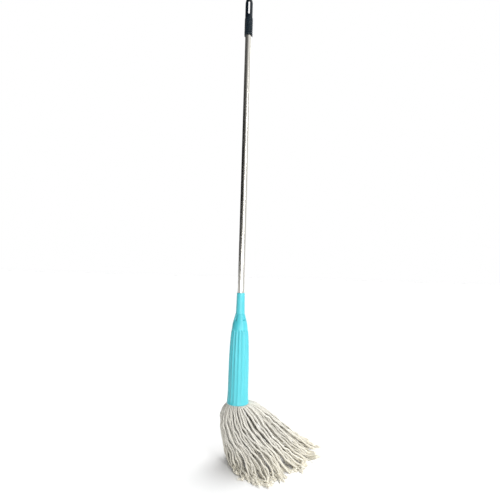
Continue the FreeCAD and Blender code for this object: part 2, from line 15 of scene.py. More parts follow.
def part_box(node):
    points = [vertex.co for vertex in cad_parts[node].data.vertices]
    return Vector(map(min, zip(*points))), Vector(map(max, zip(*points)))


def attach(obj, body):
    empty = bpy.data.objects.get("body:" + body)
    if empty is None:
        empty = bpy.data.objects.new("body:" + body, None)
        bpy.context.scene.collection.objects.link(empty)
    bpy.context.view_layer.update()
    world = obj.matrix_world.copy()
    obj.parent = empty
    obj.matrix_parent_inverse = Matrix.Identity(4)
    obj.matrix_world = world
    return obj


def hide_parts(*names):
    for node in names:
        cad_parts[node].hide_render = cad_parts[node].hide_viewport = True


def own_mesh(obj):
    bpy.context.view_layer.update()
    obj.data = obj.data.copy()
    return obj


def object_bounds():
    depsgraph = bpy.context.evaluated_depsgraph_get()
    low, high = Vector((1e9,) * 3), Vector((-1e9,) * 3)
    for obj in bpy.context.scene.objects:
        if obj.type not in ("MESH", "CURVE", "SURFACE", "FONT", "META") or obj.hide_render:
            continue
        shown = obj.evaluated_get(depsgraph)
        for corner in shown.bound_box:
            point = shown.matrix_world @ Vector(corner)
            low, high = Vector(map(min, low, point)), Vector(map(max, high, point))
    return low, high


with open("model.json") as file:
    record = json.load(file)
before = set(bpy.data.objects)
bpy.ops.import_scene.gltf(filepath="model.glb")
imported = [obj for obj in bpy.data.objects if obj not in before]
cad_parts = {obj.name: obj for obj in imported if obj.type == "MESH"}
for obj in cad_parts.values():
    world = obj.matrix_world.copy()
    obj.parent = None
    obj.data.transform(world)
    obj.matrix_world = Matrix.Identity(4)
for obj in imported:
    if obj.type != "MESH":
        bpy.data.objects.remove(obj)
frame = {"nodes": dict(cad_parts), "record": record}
cad_box = [list(corner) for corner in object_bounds()]

MM = 0.001
TURN = 2 * math.pi

# ---------------------------------------------------------------- places, read from the frame

SLEEVE_LOW, SLEEVE_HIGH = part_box("wringer_sleeve")
CAP_LOW, CAP_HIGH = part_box("hang_cap")
GRIP_LOW, GRIP_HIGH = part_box("grip_sleeve")
POLE_LOW, POLE_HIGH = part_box("pole_tube")
HUB_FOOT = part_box("yarn_hub")[0].z
SLEEVE_TOP = SLEEVE_HIGH.z
RIM = SLEEVE_LOW.z
FLOOR = cad_box[0][2]
POLE_RADIUS = (POLE_HIGH.x - POLE_LOW.x) / 2
CAP_RADIUS = (CAP_HIGH.x - CAP_LOW.x) / 2
GRIP_RADIUS = (GRIP_HIGH.x - GRIP_LOW.x) / 2
RIM_RADIUS = (SLEEVE_HIGH.y - SLEEVE_LOW.y) / 2
RIM_HEIGHT = RIM - FLOOR


# ---------------------------------------------------------------- meshes


def add_object(name, data):
    """A new object in the scene."""
    added = bpy.data.objects.new(name, data)
    bpy.context.scene.collection.objects.link(added)
    return added


def build_mesh(name, points, *face_sets):
    """An object from an array of points and arrays of faces, each array with its own number of corners."""
    mesh = bpy.data.meshes.new(name)
    points = np.asarray(points, dtype=np.float32).reshape(-1, 3)
    corners = np.concatenate([np.asarray(faces).ravel() for faces in face_sets]).astype(np.int32)
    sizes = np.concatenate([np.full(len(faces), np.shape(faces)[1]) for faces in face_sets])
    starts = np.concatenate([[0], np.cumsum(sizes)[:-1]]).astype(np.int32)
    mesh.vertices.add(len(points))
    mesh.vertices.foreach_set("co", points.ravel())
    mesh.loops.add(len(corners))
    mesh.loops.foreach_set("vertex_index", corners)
    mesh.polygons.add(len(starts))
    mesh.polygons.foreach_set("loop_start", starts)
    mesh.update(calc_edges=True)
    mesh.validate()
    mesh.shade_smooth()
    return add_object(name, mesh)


def grid_faces(rows, columns, closed_along=False):
    """Four-cornered faces over a grid of points that is closed around, and along too where asked."""
    spans = rows if closed_along else rows - 1
    row, column = np.meshgrid(np.arange(spans), np.arange(columns), indexing="ij")
    after = (column + 1) % columns
    above = (row + 1) % rows
    corners = [
        row * columns + column,
        row * columns + after,
        above * columns + after,
        above * columns + column,
    ]
    return np.stack([corner.ravel() for corner in corners], axis=1)


def round_circle(count, first=0.0):
    """Angles evenly spaced round a circle. The first one is a share of a step from 0."""
    return (np.arange(count) + first) / count * TURN


def rings_of(radii, heights, angle):
    """Rings of points round the pole's axis. Each ring has one radius, or one for each of its points."""
    points = np.zeros((len(heights), len(angle), 3))
    points[:, :, 0] = radii * np.cos(angle)
    points[:, :, 1] = radii * np.sin(angle)
    points[:, :, 2] = heights[:, None]
    return points


def lathe(name, outline):
    """A closed body of revolution from a closed outline of (radius, height) points."""
    sides = 128
    outline = np.array(outline)
    points = rings_of(outline[:, :1], outline[:, 1], round_circle(sides))
    return build_mesh(name, points, grid_faces(len(outline), sides, closed_along=True))


def solid_of_rings(name, rings):
    """A closed solid whose skin runs through rings of points, with flat ends."""
    rows, around, _ = rings.shape
    first = np.arange(around)[None, :]
    piece = build_mesh(name, rings, grid_faces(rows, around), first[:, ::-1], first + (rows - 1) * around)
    shell = bmesh.new()
    shell.from_mesh(piece.data)
    bmesh.ops.recalc_face_normals(shell, faces=shell.faces)
    shell.to_mesh(piece.data)
    shell.free()
    return piece


def cut_away(piece, cutter, sharp_from):
    """Cut one solid out of another, and shade edges as sharp from an angle in degrees."""
    cut = piece.modifiers.new("cut", "BOOLEAN")
    cut.operation = "DIFFERENCE"
    cut.solver = "EXACT"
    cut.object = cutter
    graph = bpy.context.evaluated_depsgraph_get()
    mesh = bpy.data.meshes.new_from_object(piece.evaluated_get(graph))
    piece.modifiers.clear()
    piece.data = mesh
    bpy.data.objects.remove(cutter)
    mesh.shade_smooth()
    mesh.set_sharp_from_angle(angle=math.radians(sharp_from))


def eased(x, low, high):
    """0 below low, 1 above high, and smooth between."""
    share = np.clip((np.asarray(x, dtype=float) - low) / (high - low), 0, 1)
    return share * share * (3 - 2 * share)


# ---------------------------------------------------------------- materials


def set_range(node, *numbers):
    """The numbers of a Map Range node: from low, from high, to low and to high."""
    for socket, number in zip(("From Min", "From Max", "To Min", "To Max"), numbers):
        node.inputs[socket].default_value = number


class Paint:
    """A new material with its shader, and short ways to add the nodes that feed it."""

    def __init__(self, name, colour, roughness, **sockets):
        self.material = bpy.data.materials.new(name)
        self.material.use_nodes = True
        self.nodes = self.material.node_tree.nodes
        self.links = self.material.node_tree.links
        self.shader = self.nodes["Principled BSDF"]
        self.set("Base Color", (*colour, 1))
        self.set("Roughness", roughness)
        for socket, value in sockets.items():
            self.set(socket.replace("_", " "), value)

    def set(self, socket, value):
        self.shader.inputs[socket].default_value = value

    def add(self, kind, **values):
        node = self.nodes.new(kind)
        for key, value in values.items():
            setattr(node, key, value)
        return node

    def link(self, output, target):
        self.links.new(output, target)

    def place(self, stretch):
        """The point on the piece, in metres, stretched."""
        where = self.add("ShaderNodeTexCoord")
        mapping = self.add("ShaderNodeMapping")
        mapping.inputs["Scale"].default_value = stretch
        self.link(where.outputs["Object"], mapping.inputs["Vector"])
        return mapping.outputs["Vector"]

    def noise(self, scale, detail, stretch=(1, 1, 1)):
        """Noise over the piece, finer the larger its scale."""
        node = self.add("ShaderNodeTexNoise")
        node.inputs["Scale"].default_value = scale
        node.inputs["Detail"].default_value = detail
        self.link(self.place(stretch), node.inputs["Vector"])
        return node.outputs["Fac"]

    def attribute(self, name):
        """A number that the mesh's points carry."""
        return self.add("ShaderNodeAttribute", attribute_name=name).outputs["Fac"]

    def remap(self, value, low, high, to_low=0.0, to_high=1.0):
        """A value that runs from low to high, made to run from to_low to to_high."""
        node = self.add("ShaderNodeMapRange")
        self.link(value, node.inputs["Value"])
        set_range(node, low, high, to_low, to_high)
        return node.outputs["Result"]

    def mix(self, share, first, second, blend="MIX"):
        """A colour between first and second, each a colour or another node's output."""
        share_in, first_in, second_in, colour_out = 0, 6, 7, 2
        node = self.add("ShaderNodeMix", data_type="RGBA", blend_type=blend)
        self.link(share, node.inputs[share_in])
        for index, value in ((first_in, first), (second_in, second)):
            if isinstance(value, tuple):
                node.inputs[index].default_value = (*value, 1)
            else:
                self.link(value, node.inputs[index])
        return node.outputs[colour_out]

    def bump(self, height, strength, distance):
        """Relief on the surface, on top of any that it has."""
        node = self.add("ShaderNodeBump")
        node.inputs["Strength"].default_value = strength
        node.inputs["Distance"].default_value = distance
        self.link(height, node.inputs["Height"])
        previous = self.shader.inputs["Normal"]
        if previous.is_linked:
            self.link(previous.links[0].from_socket, node.inputs["Normal"])
        self.link(node.outputs["Normal"], self.shader.inputs["Normal"])

    def colour(self, output):
        self.link(output, self.shader.inputs["Base Color"])

    def roughness(self, output):
        self.link(output, self.shader.inputs["Roughness"])


def moulded_plastic(name, colour, darker, roughness, gloss):
    """Injection-moulded plastic: faint flow marks in its colour, a fine grain, and uneven gloss."""
    paint = Paint(name, colour, roughness, IOR=1.5, Specular_IOR_Level=gloss)
    flow = paint.noise(scale=30, detail=4, stretch=(1, 1, 0.25))
    wear = paint.noise(scale=220, detail=4)
    grain = paint.noise(scale=2500, detail=2)
    paint.colour(paint.mix(paint.remap(flow, 0.35, 0.7), colour, darker))
    paint.roughness(paint.remap(wear, 0.3, 0.7, roughness - 0.05, roughness + 0.07))
    paint.bump(grain, strength=0.12, distance=0.05 * MM)
    return paint.material


def worked_metal(name, colour, roughness, stretch):
    """Metal with fine marks along its working direction and a few duller patches."""
    paint = Paint(name, colour, roughness, Metallic=1.0)
    marks = paint.noise(scale=900, detail=3, stretch=stretch)
    patches = paint.noise(scale=25, detail=3, stretch=(1, 1, 0.4))
    duller = tuple(part * 0.88 for part in colour)
    paint.roughness(paint.remap(marks, 0.3, 0.7, roughness - 0.06, roughness + 0.08))
    paint.colour(paint.mix(paint.remap(patches, 0.4, 0.75), colour, duller))
    paint.bump(marks, strength=0.1, distance=0.04 * MM)
    return paint.material


def cotton(name, light, dark, tip):
    """Cotton yarn: fine fibres, tone that differs at random, a warmer tip, and painted shade: darker in the
    furrows between plies and lighter on their crowns, and darker on the strands buried further in.
    """
    paint = Paint(name, light, 0.95, Sheen_Weight=0.35, Sheen_Roughness=0.5, Specular_IOR_Level=0.15)
    fibres = paint.noise(scale=1800, detail=4)
    fibre_share = paint.remap(fibres, 0.3, 0.75, 0.0, 0.35)
    # painted shade: strands buried further in the head are darkened, mixed with tone that differs at random
    # from strand to strand
    tone_and_shade_share = paint.remap(paint.attribute("tone"), 0, 1, 0.0, 0.75)
    tip_share = paint.remap(paint.attribute("end"), 0.55, 1, 0.0, 0.7)
    # painted shade: the furrows between plies are darkened and the crowns left light
    furrow_shade_share = paint.remap(paint.attribute("furrow"), 0, 1, 0.0, 0.75)
    body = paint.mix(fibre_share, light, dark)
    body = paint.mix(tone_and_shade_share, body, dark)
    body = paint.mix(tip_share, body, tip)
    paint.colour(paint.mix(furrow_shade_share, body, dark, "MULTIPLY"))
    paint.bump(fibres, strength=0.5, distance=0.3 * MM)
    return paint.material


# colour, colour of the darker marks, roughness and gloss
PLASTICS = {
    "black_plastic": ((0.0015, 0.008, 0.014), (0.001, 0.005, 0.010), 0.26, 0.3),
    "grip_rubber": ((0.0015, 0.008, 0.014), (0.003, 0.010, 0.017), 0.24, 0.25),
    "teal_plastic": ((0.085, 0.525, 0.595), (0.065, 0.485, 0.555), 0.34, 0.5),
    "white_plastic": ((0.80, 0.80, 0.76), (0.72, 0.72, 0.68), 0.45, 0.5),
    "black_rubber": ((0.015, 0.015, 0.016), (0.024, 0.024, 0.025), 0.65, 0.5),
}
# colour, roughness, and the stretch of the marks: long ones down the pole, even ones elsewhere
METALS = {
    "pole_steel": ((0.66, 0.64, 0.59), 0.22, (1, 1, 0.02)),
    "spring_steel": ((0.42, 0.42, 0.44), 0.34, (1, 1, 1)),
    "zinc_steel": ((0.62, 0.63, 0.64), 0.38, (1, 1, 1)),
}
MATERIALS = {name: moulded_plastic(name, *look) for name, look in PLASTICS.items()}
MATERIALS |= {name: worked_metal(name, *look) for name, look in METALS.items()}
MATERIALS["cotton"] = cotton("cotton", (0.94, 0.92, 0.86), (0.44, 0.42, 0.36), (0.97, 0.92, 0.78))


def give_material(piece, name):
    """One material on the whole piece."""
    piece.data.materials.clear()
    piece.data.materials.append(MATERIALS[name])


def new_piece(piece, body, name, *nodes):
    """A piece that stands for CAD nodes: its material, the body that it moves with and the nodes."""
    give_material(piece, name)
    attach(piece, body)
    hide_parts(*nodes)


for part in frame["record"]["subparts"]:
    give_material(frame["nodes"][part["node"]], part["material_slot"])


# ---------------------------------------------------------------- pole and grip


def make_pole():
    """The thin-walled tube, its ends rolled in a little."""
    wall = 0.8 * MM
    outer, inner = POLE_RADIUS, POLE_RADIUS - wall
    rolled_in = outer - wall * 0.5
    low, high = POLE_LOW.z, POLE_HIGH.z
    heights = np.linspace(low + wall, high - wall, 40)
    outline = [(rolled_in, low)]
    outline += [(outer, z) for z in heights]
    outline += [(rolled_in, high), (inner, high)]
    outline += [(inner, z) for z in heights[::-1]]
    outline += [(inner, low)]
    return lathe("pole", outline)


def make_grip():
    """The grip: ribs between narrow round grooves, and a plain rounded collar at either end."""
    ribs, pitch, depth = 7, 6.9 * MM, 2.0 * MM
    narrowness = 5
    fade = 0.25
    edge = 0.9 * MM
    corner = edge * 0.3
    low, high = GRIP_LOW.z, GRIP_HIGH.z
    middle = (low + high) / 2
    heights = np.linspace(low + edge, high - edge, 240)
    phase = (heights - middle) / pitch + ribs / 2
    groove = np.abs(np.cos(math.pi * phase)) ** narrowness
    ribbed = eased(ribs / 2 + 0.5 - np.abs(phase - ribs / 2), 0, fade)
    radii = GRIP_RADIUS - depth * groove * ribbed
    bore = POLE_RADIUS + 0.02 * MM
    outline = [(bore, low), (GRIP_RADIUS - edge, low), (GRIP_RADIUS - corner, low + corner)]
    outline += list(zip(radii, heights))
    outline += [(GRIP_RADIUS - corner, high - corner), (GRIP_RADIUS - edge, high), (bore, high)]
    return lathe("grip", outline)


def make_slot():
    """The cutter for the hanging slot, narrower at mid depth, where the slot's walls swell inwards."""
    width, length, pinch = 5.2 * MM, 50 * MM, 0.6 * MM
    depth = np.linspace(-CAP_RADIUS - MM, CAP_RADIUS + MM, 25)[:, None]
    inwards = pinch * (1 - np.clip(np.abs(depth) / CAP_RADIUS, 0, 1) ** 2)
    half_width = width / 2 - inwards
    half_length = length / 2 - inwards
    angle = round_circle(48, first=0.5)
    slot = np.zeros((len(depth), len(angle), 3))
    slot[:, :, 0] = half_width * np.cos(angle)
    slot[:, :, 1] = depth
    slot[:, :, 2] = half_width * np.sin(angle) + (half_length - half_width) * np.sign(np.sin(angle))
    return solid_of_rings("slot", slot)


def make_cap():
    """The end cap: a bar that narrows to its tip, a spigot in the pole, and the hanging slot through it."""
    low, high, foot = CAP_LOW.z, CAP_HIGH.z, GRIP_HIGH.z
    taper, tip, swell = 23 * MM, 4 * MM, 1.9 * MM
    round_over = 0.8 * MM
    corner = round_over * 0.3
    spigot = POLE_RADIUS - 0.85 * MM
    outline = [(spigot - round_over, low), (spigot, low + round_over), (spigot, foot), (CAP_RADIUS, foot)]
    outline += [(CAP_RADIUS, z) for z in np.linspace(foot + MM, high - taper - MM, 24)]
    for share in np.linspace(0, 0.97, 24):
        radius = CAP_RADIUS + (tip - CAP_RADIUS) * share + swell * 4 * share * (1 - share)
        outline.append((radius, high - taper * (1 - share)))
    outline += [(tip - corner, high - corner), (tip - round_over, high)]
    outline = np.array(outline)
    cap = solid_of_rings("cap", rings_of(outline[:, :1], outline[:, 1], round_circle(96)))
    cut_away(cap, make_slot(), sharp_from=40)
    return cap


new_piece(make_cap(), "handle", "black_plastic", "hang_cap")
new_piece(make_pole(), "handle", "pole_steel", "pole_tube")
new_piece(make_grip(), "handle", "grip_rubber", "grip_sleeve")


# ---------------------------------------------------------------- wringer sleeve

# the outside and the inside: distance down from the top edge and radius, in millimetres.
# The neck's last point is hidden in the barrel.
NECK = [(0, 11.0), (1.2, 11.4), (30, 12.2), (61, 13.1), (90, 14.0)]
COLLAR = [(66, 14.9), (73, 17.0), (80, 18.7)]
BARREL = [(88, 21.0), (97, 22.6), (106, 23.6), (120, 25.7), (140, 27.2), (165, 28.4), (200, 29.3)]
BELL = [(240, 29.8), (285, 30.2), (300, 30.7), (312, 31.5), (316.6, 32.0), (318, 31.9)]
HOLLOW = [(318, 29.4), (314, 29.0), (285, 27.8), (240, 27.4), (200, 26.9), (165, 26.0), (140, 24.8)]
HOLLOW += [(120, 23.0), (107, 21.0), (96, 17.8), (92, 15.0), (84, 13.6)]
HOLLOW += [(83, 10.6), (60, 10.6), (20, 10.6), (0, 10.6)]
# the mesh's rows down the outside: from, to, and how many
ROWS = ((0, 60, 24), (60.5, 64, 10), (65, 78.5, 16), (79, 81, 8), (82, 140, 60), (142, 318, 90))
WALL = 2.4
FLUTES = 18
FLUTE_DEPTH = 2.2
POCKETS = 4
POCKET_ANGLE = 34
POCKET_DEPTH = 1.5


def curve_through(knots, at):
    """A smooth curve through (distance, radius) knots that doesn't swing past them."""
    x, y = np.array(knots, dtype=float).T
    slope = np.diff(y) / np.diff(x)
    tangent = np.zeros(len(x))
    both = slope[:-1] * slope[1:]
    tangent[1:-1] = np.where(both > 0, 2 * both / (slope[:-1] + slope[1:] + 1e-12), 0)
    tangent[0], tangent[-1] = slope[0], slope[-1]
    k = np.clip(np.searchsorted(x, at) - 1, 0, len(x) - 2)
    h = x[k + 1] - x[k]
    t = (at - x[k]) / h
    return (
        (2 * t**3 - 3 * t**2 + 1) * y[k]
        + (t**3 - 2 * t**2 + t) * h * tangent[k]
        + (3 * t**2 - 2 * t**3) * y[k + 1]
        + (t**3 - t**2) * h * tangent[k + 1]
    )


def sleeve_skin(down, angle):
    """Radius of the sleeve's outside, in millimetres, at a distance below its top and an angle round it."""
    profile = COLLAR + BARREL + BELL
    collar_start, rim_end = profile[0][0], profile[-1][0]
    neck = curve_through(NECK, np.minimum(down, NECK[-1][0]))
    body = curve_through(profile, np.clip(down, collar_start, rim_end))
    collar_edge = 0.9 * eased(collar_start - down, 0, 6)
    risen = eased(down, 60.0, 62.5)
    radius = neck * (1 - risen) + np.maximum(neck, body - collar_edge) * risen

    blur = 0.012
    half = POCKET_ANGLE / 360 / 2 * POCKETS
    away = np.abs(((angle / TURN * POCKETS) % 1) - 0.5)
    opening = 1 - eased(away, half - blur, half + blur)
    pocket = opening * eased(down, 61.5, 63) * (1 - eased(down, 79.2, 80.2))
    radius = radius * (1 - pocket) + (neck - POCKET_DEPTH) * pocket

    across = (angle / TURN * FLUTES + 0.25 * FLUTES) % 1
    from_middle = np.abs(2 * across - 1)
    hollow = 1 - from_middle**2.2
    start = eased(down - 4 * from_middle**2, 104, 110)
    shallower = 1 - 0.4 * eased(down, 135, 300)
    stopped = 1 - eased(down, 308, 316)
    return radius - FLUTE_DEPTH * start * shallower * stopped * hollow


def make_sleeve():
    """The sleeve: one moulded shell, its outside from sleeve_skin and its inside plain."""
    angle = round_circle(FLUTES * 20)
    down = np.concatenate([np.linspace(*span) for span in ROWS])
    skin = sleeve_skin(down[:, None], angle[None, :]) * MM
    inside_down, inside = np.array(HOLLOW).T
    radii = np.concatenate([skin, np.repeat(inside[:, None] * MM, len(angle), axis=1)])
    heights = SLEEVE_TOP - np.concatenate([down, inside_down]) * MM
    faces = grid_faces(len(heights), len(angle), closed_along=True)
    return build_mesh("sleeve", rings_of(radii, heights, angle), faces[:, ::-1])


new_piece(make_sleeve(), "wringer", "teal_plastic", "wringer_sleeve")


# ---------------------------------------------------------------- yarn

YARN_RADIUS = 2.75 * MM
PRESSED_RADIUS = 2.05 * MM  # inside the sleeve
HUB_RADIUS = 21 * MM  # where strands leave the hub
YARN_MIDDLE = np.array([90, -5, 0]) * MM  # of the head's outline on the floor
POINTS = 72  # along a strand while it is laid
CONTROLS = 10  # of a strand's guide
HELD = 5  # the first points, which stay on the guide
PLIES = 3
PLY_PITCH = 13 * MM
PLY_COLUMNS = 5  # of the mesh, across one ply
LOCKS = 23
PER_PIECE = 30  # the most strands in one mesh
# the part of the floor that the strands' tips stay in
REACH_LOW = np.array(cad_box[0][:2]) + 6 * MM
REACH_HIGH = np.array(cad_box[1][:2]) + [2 * MM, 0]
# rings of strands at the rim, from the outermost: radius in millimetres and how many strands
RIM_RINGS = ((26.8, 38), (22.6, 33), (18.3, 30), (14.0, 24), (9.7, 17), (5.0, 9))
OUTER_RINGS = 2  # the rest are the core
QUARTERS = ("yarn_right", "yarn_back", "yarn_left", "yarn_front")
# what comes loose at a strand's tip, and the rows and columns of its mesh
LOOSE_ENDS = {
    "plies": {
        "per_tip": PLIES,
        "length": 13 * MM,
        "spread": 2.4 * MM,
        "thickness": 1.05 * MM,
        "rows": 12,
        "columns": 7,
    },
    "fibres": {
        "per_tip": 14,
        "length": 15 * MM,
        "spread": 4.5 * MM,
        "thickness": 0.16 * MM,
        "rows": 9,
        "columns": 3,
    },
}
random_numbers = np.random.default_rng(11)


# how strands lie by the direction in which they leave the rim, in degrees from +X:
# where they end on the floor (x, y), how far they arch outwards, the share of their way to that end
# at which they reach the floor, and how far their middle is swept towards +X; lengths in millimetres
LIE = (
    (170, -6, -34, 24, 0.25, 4),
    (190, 10, -64, 22, 0.35, 10),
    (210, 32, -92, 19, 0.45, 20),
    (230, 62, -114, 16, 0.52, 30),
    (250, 90, -108, 14, 0.58, 40),
    (270, 120, -78, 12, 0.64, 42),
    (290, 152, -46, 11, 0.72, 34),
    (310, 194, -18, 11, 0.82, 20),
    (330, 226, 30, 13, 0.92, 6),
    (350, 262, 90, 16, 0.94, 2),
    (368, 274, 128, 20, 0.95, 0),
    (400, 236, 144, 26, 0.88, 4),
    (440, 110, 130, 30, 0.65, 0),
    (480, 10, 98, 38, 0.50, 0),
    (510, -30, 20, 32, 0.35, 0),
)


def lie_of(angle):
    """The row of LIE for a direction, smoothly between its rows."""
    rows = np.array(LIE)
    turned = (math.degrees(angle) - rows[0, 0]) % 360 + rows[0, 0]
    whole_turn = np.array([360, 0, 0, 0, 0, 0])
    wrapped = np.concatenate([rows[-1:] - whole_turn, rows, rows[:2] + whole_turn])
    k = np.searchsorted(wrapped[:, 0], turned) - 1
    share = (turned - wrapped[k, 0]) / (wrapped[k + 1, 0] - wrapped[k, 0])
    share = share * share * (3 - 2 * share) * 0.5 + share * 0.5  # half eased, half even
    return wrapped[k, 1:] * (1 - share) + wrapped[k + 1, 1:] * share


def spline(controls, samples):
    """Points on a clamped cubic B-spline over its control points."""
    controls = np.asarray(controls)
    count = len(controls)
    knots = np.concatenate([np.zeros(3), np.linspace(0, 1, count - 2), np.ones(3)])
    at = np.linspace(0, 1 - 1e-9, samples)
    basis = ((at[:, None] >= knots[None, :-1]) & (at[:, None] < knots[None, 1:])).astype(float)
    for degree in (1, 2, 3):
        left = knots[degree:-1] - knots[: -degree - 1]
        right = knots[degree + 1 :] - knots[1:-degree]
        since = at[:, None] - knots[None, : -degree - 1]
        until = knots[None, degree + 1 :] - at[:, None]
        rising = np.where(left > 0, since / np.where(left > 0, left, 1), 0)
        falling = np.where(right > 0, until / np.where(right > 0, right, 1), 0)
        basis = rising * basis[:, :-1] + falling * basis[:, 1:]
    return basis @ controls


def even_steps(line, count):
    """Points evenly spaced along a line."""
    steps = np.linalg.norm(np.diff(line, axis=0), axis=1)
    distance = np.concatenate([[0], np.cumsum(steps)])
    at = np.linspace(0, distance[-1], count)
    return np.stack([np.interp(at, distance, line[:, axis]) for axis in range(3)], axis=1)


def strand_guide(angle, ring_radius, inner, lock):
    """The line a strand takes by itself: off the hub, out of the rim, over in an arch and on to the floor.

    inner is 0 for the outermost ring and nears 1 at the middle, where strands lie shorter and less ordered.
    """
    away = np.array([math.cos(angle), math.sin(angle), 0])
    up = np.array([0, 0, 1])
    right = np.array([1, 0, 0])
    turned = angle + lock["pull"] + random_numbers.normal(0, 0.03 + 0.25 * inner)
    x, y, arch, landing, sweep = lie_of(turned)
    shrink = lock["shrink"] - 0.75 * inner * random_numbers.random() + random_numbers.normal(0, 0.025)
    tip = YARN_MIDDLE + (np.array([x, y, 0]) * MM - YARN_MIDDLE) * shrink
    tip[:2] = np.clip(tip[:2], REACH_LOW, REACH_HIGH)
    arch = arch * MM * (1 - 0.8 * inner)
    sweep = right * sweep * MM * (1 - 0.6 * inner)
    start = away * ring_radius
    way = tip - start
    over = start + away * arch
    down = start + away * arch * 0.30
    drop = RIM_HEIGHT
    # 1 where the strand reaches the floor late, and comes out of the rim flatter
    flat = eased(landing, 0.5, 0.9)
    lying = np.array([0, 0, FLOOR + YARN_RADIUS])
    controls = [
        # down the hub and out of the rim
        away * HUB_RADIUS + up * (HUB_FOOT + 12 * MM),
        away * HUB_RADIUS + up * (HUB_FOOT + 2 * MM),
        start + up * (RIM - 1 * MM),
        # over in the arch
        start + away * arch * 0.45 + way * 0.04 * flat + up * (RIM - (0.04 - 0.06 * flat) * drop),
        over + way * 0.14 * flat + up * (RIM - (0.20 - 0.12 * flat) * drop),
        over + way * landing * 0.36 + sweep * 0.2 + up * (FLOOR + (0.54 + 0.06 * flat) * drop),
        # down to the floor
        down + way * landing * 0.68 + sweep + up * (FLOOR + (0.28 + 0.01 * flat) * drop),
        # along the floor to the tip
        start + way * landing + sweep + lying,
        tip - (way * (1 - landing) - sweep) * 0.3 + lying,
        tip + lying,
    ]
    controls = np.array(controls)
    # the strand wanders little inside the sleeve and more towards its tip
    growing = np.linspace(0.1, 1, CONTROLS)[:, None]
    growing[:4] *= 0.3
    controls += (lock["wander"] + random_numbers.normal(0, 4.2 * MM, controls.shape)) * growing
    controls[:, :2] = np.clip(controls[:, :2], REACH_LOW, REACH_HIGH)
    return even_steps(spline(controls, 400), POINTS)


def make_locks():
    """Locks of strands that cling together round the head, each with its own wander and length."""
    return [
        {
            "wander": random_numbers.normal(0, 5.0 * MM, (CONTROLS, 3)) * [1, 1, 0.7],
            "shrink": 1 + random_numbers.normal(0, 0.025),
        }
        for _ in range(LOCKS)
    ]


def strand_guides():
    """Every strand's guide, and the ring and angle that it leaves the rim at.

    A strand belongs to the lock nearest to it, more loosely so further in, and is pulled towards its middle.
    """
    guides, rings, angles = [], [], []
    locks = make_locks()
    outermost = RIM_RINGS[0][0]
    for ring, (radius, count) in enumerate(RIM_RINGS):
        turn = random_numbers.random()
        for i in range(count):
            angle = ((i + turn + random_numbers.normal(0, 0.08)) / count * TURN) % TURN
            inner = (outermost - radius) / outermost
            number = (int(angle / TURN * LOCKS + random_numbers.normal(0, 0.12 + inner)) + LOCKS) % LOCKS
            centre = (number + 0.5) / LOCKS * TURN
            gap = (centre - angle + TURN / 2) % TURN - TURN / 2
            lock = dict(locks[number], pull=gap * 0.30 * (1 - inner))
            guides.append(strand_guide(angle, radius * MM, inner, lock))
            rings.append(ring)
            angles.append(angle)
    return np.array(guides), np.array(rings), np.array(angles)


def close_pairs(points, strand, reach):
    """Pairs of points on different strands that are nearer than a distance."""
    tree = kdtree.KDTree(len(points))
    for index, point in enumerate(points):
        tree.insert(point, index)
    tree.balance()
    first, second = [], []
    for index, point in enumerate(points):
        for _, other, _ in tree.find_range(point, reach):
            if other > index and strand[other] != strand[index]:
                first.append(index)
                second.append(other)
    return np.array(first, dtype=int), np.array(second, dtype=int)


def push_apart(lines, radius, strand):
    """Lines moved off each other where the strands along them overlap, by less where many meet."""
    flat = lines.reshape(-1, 3)
    size = radius.reshape(-1)
    first, second = close_pairs(flat, strand, 2 * YARN_RADIUS)
    gap = flat[first] - flat[second]
    distance = np.linalg.norm(gap, axis=1)
    wanted = size[first] + size[second]
    push = np.clip(wanted - distance, 0, None) * 0.5
    shift = gap / np.maximum(distance, 1e-6)[:, None] * push[:, None]
    moved = np.zeros_like(flat)
    crowd = np.ones(len(flat))
    np.add.at(moved, first, shift)
    np.add.at(moved, second, -shift)
    np.add.at(crowd, first, 0.5)
    np.add.at(crowd, second, 0.5)
    flat += moved / crowd[:, None] ** 0.5
    return flat.reshape(lines.shape)


def keep_spacing(lines, step):
    """Bring the points of each line back to their spacing, one after another from the held ones."""
    for i in range(HELD, lines.shape[1]):
        link = lines[:, i] - lines[:, i - 1]
        length = np.linalg.norm(link, axis=1)
        lines[:, i] -= link * (1 - step / np.maximum(length, 1e-9))[:, None]


def keep_clear(lines, radius):
    """Keep lines above the floor, and inside the sleeve's wall where they are above its rim."""
    lines[:, :, 2] = np.maximum(lines[:, :, 2], FLOOR + radius)
    out = np.linalg.norm(lines[:, :, :2], axis=2)
    inside = lines[:, :, 2] > RIM - 2 * MM
    limit = RIM_RADIUS - (WALL + 0.3) * MM - radius
    shrink = np.where(inside & (out > limit), limit / np.maximum(out, 1e-9), 1)
    lines[:, :, :2] *= shrink[:, :, None]


def settle(lines, rounds):
    """Lay the strands on each other and on the floor. They keep their length and bend gently."""
    to_guide, sag, stiffness = 0.03, 0.10 * MM, 0.22
    count, points, _ = lines.shape
    guide = lines.copy()
    step = np.linalg.norm(np.diff(lines, axis=1), axis=2).mean(axis=1)
    below_rim = RIM - lines[:, :, 2]
    radius = PRESSED_RADIUS + (YARN_RADIUS - PRESSED_RADIUS) * eased(below_rim, 0, 34 * MM)
    strand = np.repeat(np.arange(count), points)
    for _ in range(rounds):
        lines[:, HELD:] += (guide[:, HELD:] - lines[:, HELD:]) * to_guide
        lines[:, HELD:, 2] -= sag
        middle = (lines[:, :-2] + lines[:, 2:]) / 2
        lines[:, 1:-1] += (middle - lines[:, 1:-1]) * stiffness
        lines = push_apart(lines, radius, strand)
        keep_spacing(lines, step)
        keep_clear(lines, radius)
        lines[:, :HELD] = guide[:, :HELD]
    return lines, radius


